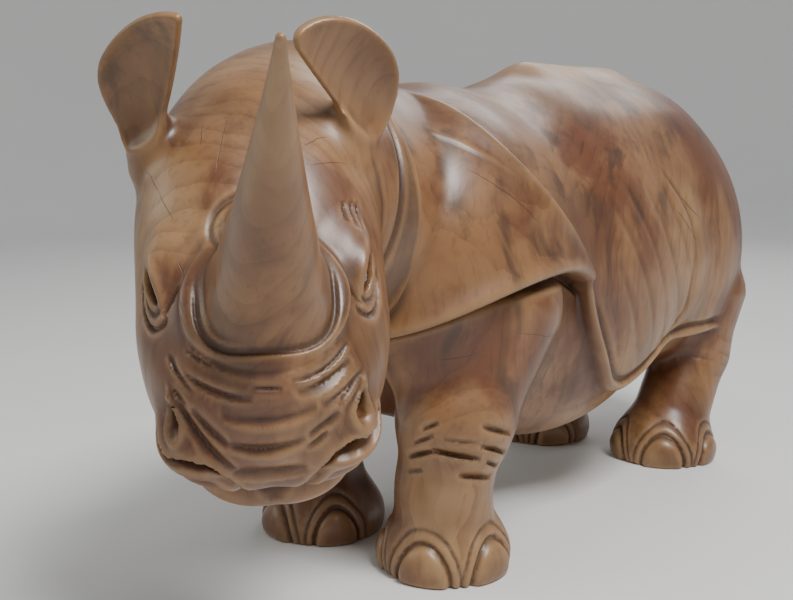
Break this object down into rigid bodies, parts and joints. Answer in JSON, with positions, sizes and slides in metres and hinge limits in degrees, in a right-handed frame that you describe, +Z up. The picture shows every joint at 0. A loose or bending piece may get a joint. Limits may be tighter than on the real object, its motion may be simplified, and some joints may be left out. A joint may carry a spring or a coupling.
{
  "type": "carved wooden rhinoceros",
  "caption": "Standing rhinoceros figure carved from solid wood, head lowered and turned to its left, with folded skin, wrinkled nose, long front horn and cupped ears.",
  "frame": {"origin": "on the ground, at the centre of the bottom of the bounding box", "axes": "+Z up, +Y towards the tail, +X towards the animal's left side, to which its head is turned"},
  "size_m": [0.4377, 0.9783, 0.4565],
  "materials": {
    "wood": "oiled and rubbed hardwood, satin, light tan to reddish brown with dark brown stains"
  },
  "bodies": {
    "root": {"carved_rhinoceros": "wood"}
  },
  "joints": []
}
